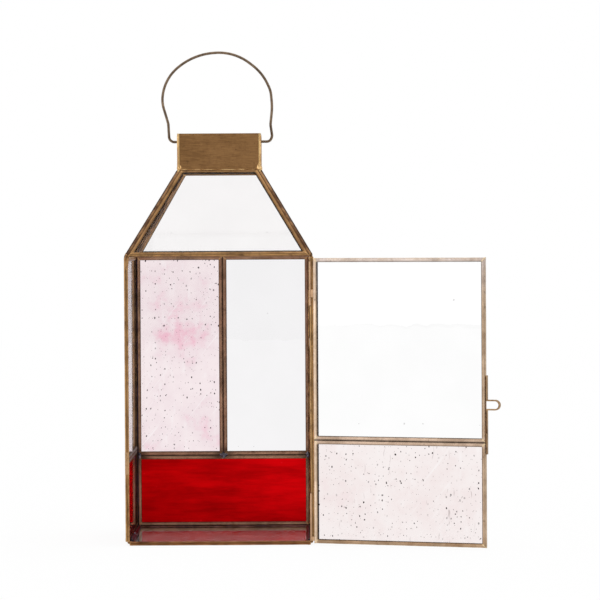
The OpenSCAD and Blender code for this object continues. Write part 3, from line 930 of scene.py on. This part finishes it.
CLEAR = clear_paint((250, 250, 250))
ROOF_CLEAR = clear_paint((251, 250, 250), 0.04)
PINK_TONES = ((246, 233, 235), (240, 224, 228), (240, 160, 188), (5, 2, 3))
PALE_TONES = ((247, 239, 238), (243, 231, 230), (242, 220, 223), (5, 3, 3))
RED_LEFT, RED_RIGHT = (0.34, 0.0004, 0.0012, 1.0), (0.46, 0.0007, 0.0022, 1.0)
# each pane's paint and its mirror share seen square on
GLASS = {
    "floor": (CLEAR, 0.03),
    "left_lower": (red_paint(RED_LEFT, RED_RIGHT), 0.0),
    "left_upper": (CLEAR, 0.03),
    "right_lower": (CLEAR, 0.03),
    "right_upper": (seeded_paint(*PINK_TONES, scratch=0.3), 0.03),
    "back_lower": (red_paint(RED_RIGHT, RED_LEFT), 0.0),
    "back_left": (seeded_paint(*PINK_TONES, scratch=0.3, patch=heart_patch()), 0.02),
    "back_right": (clear_paint((246, 245, 246), 0.07), 0.02),
    "roof_front": (ROOF_CLEAR, 0.02),
    "roof_right": (CLEAR, 0.03),
    "roof_back": (ROOF_CLEAR, 0.02),
    "roof_left": (CLEAR, 0.03),
    "door_lower": (seeded_paint(*PALE_TONES, scratch=0.4, speck_amount=0.8, hair=0.6), 0.02),
    "door_upper": (clear_paint((254, 254, 254), 0.05), 0.02),
}
# how late the mirror grows, how flat the pane is, and how oblique a view makes it a full mirror
STEEP = {"floor": 5.0, "left_lower": 8.0, "left_upper": 8.0}
WAVE = {"floor": 0.02}
FULL_MIRROR = {"floor": 0.944}
SEED_STEP = 1.7
for number, (pane, (paint, mirror)) in enumerate(GLASS.items()):
    sheet = glass_material("glass_" + pane, pane, paint, mirror, number * SEED_STEP,
                           STEEP.get(pane, 4.0), WAVE.get(pane, 0.06), FULL_MIRROR.get(pane, 1.0))
    finish_node(pane + "_glass", sheet)

# ---------------------------------------------------------------- studio

# how white the floor's matt share is, the share that glows by itself, and the light that falls on it
FLOOR_SHADE = 0.9
FLOOR_GLOW = 0.92
FLOOR_LIGHT = 1.0 / FLOOR_SHADE + 0.02
FLOOR_HALF = 4.0
FLOOR_GAP = 0.2 * MM
# name, place, size and power of each softbox
SOFTBOXES = (
    ("softbox_left", (-1.6, -1.8, 0.75), 1.4, 8.0),
    ("softbox_right", (2.0, -0.8, 0.9), 1.2, 5.0),
    ("softbox_top", (0.1, 0.3, 2.2), 1.8, 9.0),
)
# metres, degrees and millimetres
CAMERA_PLACE = Vector((0.04766, -2.21116, 0.19713))
CAMERA_YAW, CAMERA_PITCH, CAMERA_ROLL = 0.0982, -1.116, -0.3178
CAMERA_LENS, CAMERA_SENSOR = 204.316, 36.0


def studio_world():
    """The camera sees plain white, matt surfaces an even light, and shiny ones a soft room."""
    world = bpy.data.worlds.new("studio")
    world.use_nodes = True
    g = Graph(world.node_tree)
    way = g.node("SeparateXYZ", None, Vector=g.node("TexCoord").outputs["Generated"])
    up, ahead = way.outputs[2], way.outputs[1]
    level = g.ease(up, 0.0, 0.95, 0.8, 1.15)
    dip = g.ease(g.math("MULTIPLY", ahead, -1.0), 0.35, 0.95, 1.0, 0.42)
    room, even, white = (g.node("Background", None, Color=WHITE, Strength=strength).outputs[0]
                         for strength in (g.math("MULTIPLY", level, dip), FLOOR_LIGHT, 1.0))
    path = g.node("LightPath").outputs
    lit = g.node("MixShader", None, i0=path["Is Diffuse Ray"], i1=room, i2=even).outputs[0]
    both = g.node("MixShader", None, i0=path["Is Camera Ray"], i1=lit, i2=white)
    g.node("OutputWorld", None, Surface=both.outputs[0])
    scene.world = world


def studio_floor():
    """Wide plain white floor under the lantern."""
    mesh = bpy.data.meshes.new("studio_floor")
    ends = ((-1, -1), (1, -1), (1, 1), (-1, 1))
    mesh.from_pydata([(x * FLOOR_HALF, y * FLOOR_HALF, 0) for x, y in ends], [], [(0, 1, 2, 3)])
    floor = bpy.data.objects.new("studio_floor", mesh)
    scene.collection.objects.link(floor)
    mat, g = new_material("studio_floor")
    matt = g.node("BsdfDiffuse", None, Color=(FLOOR_SHADE,) * 3 + (1.0,))
    glow = g.node("Emission", None, Color=WHITE, Strength=1.0)
    both = g.node("MixShader", None, i0=FLOOR_GLOW, i1=matt.outputs[0], i2=glow.outputs[0])
    g.node("OutputMaterial", None, Surface=both.outputs[0])
    mesh.materials.append(mat)
    floor.location.z = cad_lo.z - FLOOR_GAP


def area_light(name, place, target, size, power):
    """A square softbox aimed at the target, which lights only the lantern and casts no shadow."""
    lamp = bpy.data.lights.new(name, "AREA")
    lamp.shape = "SQUARE"
    lamp.size = size
    lamp.energy = power
    lamp.use_shadow = False
    obj = bpy.data.objects.new(name, lamp)
    obj.location = place
    obj.rotation_mode = "QUATERNION"
    obj.rotation_quaternion = (Vector(target) - Vector(place)).to_track_quat("-Z", "Y")
    scene.collection.objects.link(obj)
    obj.light_linking.receiver_collection = LANTERN_ONLY


def photo_camera():
    """A long lens near two thirds of the lantern's height, looking almost straight at the doorway."""
    yaw, pitch, roll = (math.radians(a) for a in (CAMERA_YAW, CAMERA_PITCH, CAMERA_ROLL))
    cam = bpy.data.cameras.new("camera")
    cam.sensor_width = CAMERA_SENSOR
    cam.lens = CAMERA_LENS
    cam.clip_start, cam.clip_end = 0.1, 50.0
    obj = bpy.data.objects.new("camera", cam)
    ahead = Vector((math.sin(yaw) * math.cos(pitch), math.cos(yaw) * math.cos(pitch), math.sin(pitch)))
    right = Vector((math.cos(yaw), -math.sin(yaw), 0.0))
    up = right.cross(ahead)
    across = right * math.cos(roll) + up * math.sin(roll)
    tall = up * math.cos(roll) - right * math.sin(roll)
    turn = Matrix((across, tall, -ahead)).transposed()
    obj.matrix_world = Matrix.Translation(CAMERA_PLACE) @ turn.to_4x4()
    scene.collection.objects.link(obj)
    scene.camera = obj


LANTERN_ONLY = bpy.data.collections.new("lit_by_softboxes")
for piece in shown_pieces():
    LANTERN_ONLY.objects.link(piece)
studio_world()
studio_floor()
for name, place, size, power in SOFTBOXES:
    area_light(name, place, (cad_lo + cad_hi) / 2, size, power)
photo_camera()
scene.view_settings.view_transform = "Standard"
